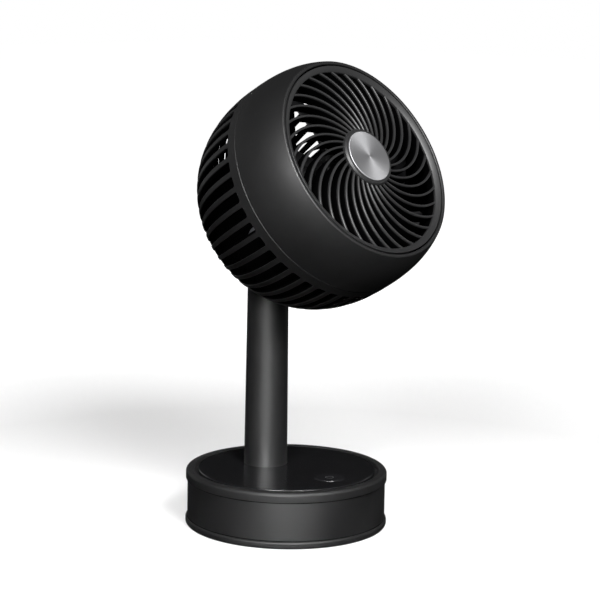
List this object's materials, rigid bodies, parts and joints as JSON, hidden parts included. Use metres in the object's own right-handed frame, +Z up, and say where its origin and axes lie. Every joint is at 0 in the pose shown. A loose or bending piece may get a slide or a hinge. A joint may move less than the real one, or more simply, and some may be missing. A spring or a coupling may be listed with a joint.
{
  "type": "table fan",
  "caption": "Table fan: tilting globe head with swirl-vane grille and slotted rear cage on a round stem and weighted drum base with push button and charging inlet.",
  "frame": {"origin": "centre of the underside of the non-slip pad, on the surface that the fan stands on", "axes": "+Z up; -Y is the front, where the head faces and the button lies; X across"},
  "size_m": [0.1596, 0.173, 0.3221],
  "materials": {
    "satin_black": "fine satin moulded plastic",
    "dark_trim": "satin moulded plastic, a little lighter",
    "gloss_black": "polished black panel",
    "spun_aluminium": "spun with fine circular lines",
    "impeller_plastic": "moulded, semi-gloss",
    "inner_plastic": "plain moulded",
    "washer_plastic": "plain white",
    "motor_steel": "drawn can",
    "steel": "bright",
    "port_steel": "bright folded sheet",
    "bronze": "sintered",
    "bracket_aluminium": "die cast",
    "ballast_iron": "raw",
    "cell_can": null,
    "contact_metal": "sheet",
    "board_green": "circuit board",
    "pad_rubber": "non-slip"
  },
  "bodies": {
    "base": {"stem_tube": "satin_black", "stem_knuckle": "bracket_aluminium", "friction_washers": "washer_plastic", "stem_socket": "bracket_aluminium", "socket_screws": "steel", "upper_housing": "satin_black", "top_plate": "gloss_black", "base_wall": "satin_black", "bottom_cover": "satin_black", "rubber_pad": "pad_rubber", "base_screws": "steel", "ballast_plate": "ballast_iron", "battery_tray": "inner_plastic", "battery_cells": "cell_can", "battery_contacts": "contact_metal", "control_board": "board_green", "board_screws": "steel", "tact_switch": "inner_plastic", "charge_board": "board_green", "charge_screws": "steel", "charging_port": "port_steel"},
    "button": {"power_button": "gloss_black"},
    "head": {"front_shroud": "satin_black", "rear_cage": "satin_black", "front_grille": "dark_trim", "hub_cap": "spun_aluminium", "motor_can": "motor_steel", "motor_bushes": "bronze", "motor_bracket": "inner_plastic", "head_screws": "steel", "motor_screws": "steel", "tilt_yoke": "bracket_aluminium", "hinge_pin": "steel", "hinge_nut": "steel"},
    "wheel": {"impeller": "impeller_plastic", "motor_shaft": "steel", "impeller_nut": "steel"}
  },
  "joints": [
    {"name": "head_tilt", "type": "hinge", "parent": "base", "child": "head", "pos_m": [0, 0.02, 0.198], "axis": [-1, 0, 0], "range_deg": [-30, 12]},
    {"name": "impeller_spin", "type": "hinge", "parent": "head", "child": "wheel", "pos_m": [0, -0.02807, 0.23786], "axis": [0, -0.8616, 0.5075], "continuous": true},
    {"name": "button_press", "type": "slide", "parent": "base", "child": "button", "axis": [0, 0, -1], "range_m": [0, 0.0008], "stiffness_N_per_m": 1500}
  ]
}
